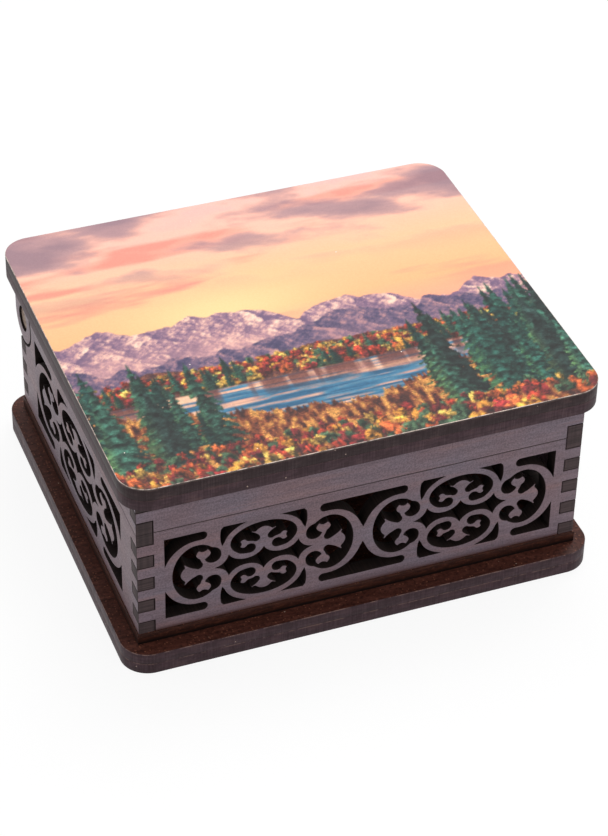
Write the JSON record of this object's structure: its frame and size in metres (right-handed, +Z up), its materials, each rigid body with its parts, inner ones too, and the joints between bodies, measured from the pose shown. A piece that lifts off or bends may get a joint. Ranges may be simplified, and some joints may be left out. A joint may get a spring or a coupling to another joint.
{
  "type": "carved trinket box",
  "caption": "Rectangular plywood trinket box with scroll fretwork walls, finger-jointed corners, a wooden ear hinge and a rounded lid with a glossy printed top.",
  "frame": {"origin": "middle of the base's underside", "axes": "+X along the front from left to right, +Y from the front to the hinge side, +Z up"},
  "size_m": [0.1214, 0.1074, 0.056],
  "materials": {
    "stained_wall": "satin stained plywood",
    "stained_plate": "lacquered stained plywood",
    "bare_wood": "matte end grain",
    "print": "glossy printed sheet"
  },
  "bodies": {
    "box": {"base_lower_sheet": "stained_plate", "base_upper_sheet": "stained_plate", "floor_sheet": "stained_plate", "front_wall": "stained_wall", "back_wall": "stained_wall", "left_wall": "stained_wall", "right_wall": "stained_wall", "hinge_pin_left": "bare_wood", "hinge_pin_right": "bare_wood"},
    "lid": {"lid_front_strip": "stained_wall", "lid_back_strip": "stained_wall", "lid_left_strip": "stained_wall", "lid_right_strip": "stained_wall", "lid_lower_sheet": "stained_plate", "lid_upper_sheet": "stained_plate", "lid_print": "print"}
  },
  "joints": [
    {"name": "lid_hinge", "type": "hinge", "parent": "box", "child": "lid", "pos_m": [0, 0.046, 0.0363], "axis": [-1, 0, 0], "range_deg": [0, 95]}
  ]
}
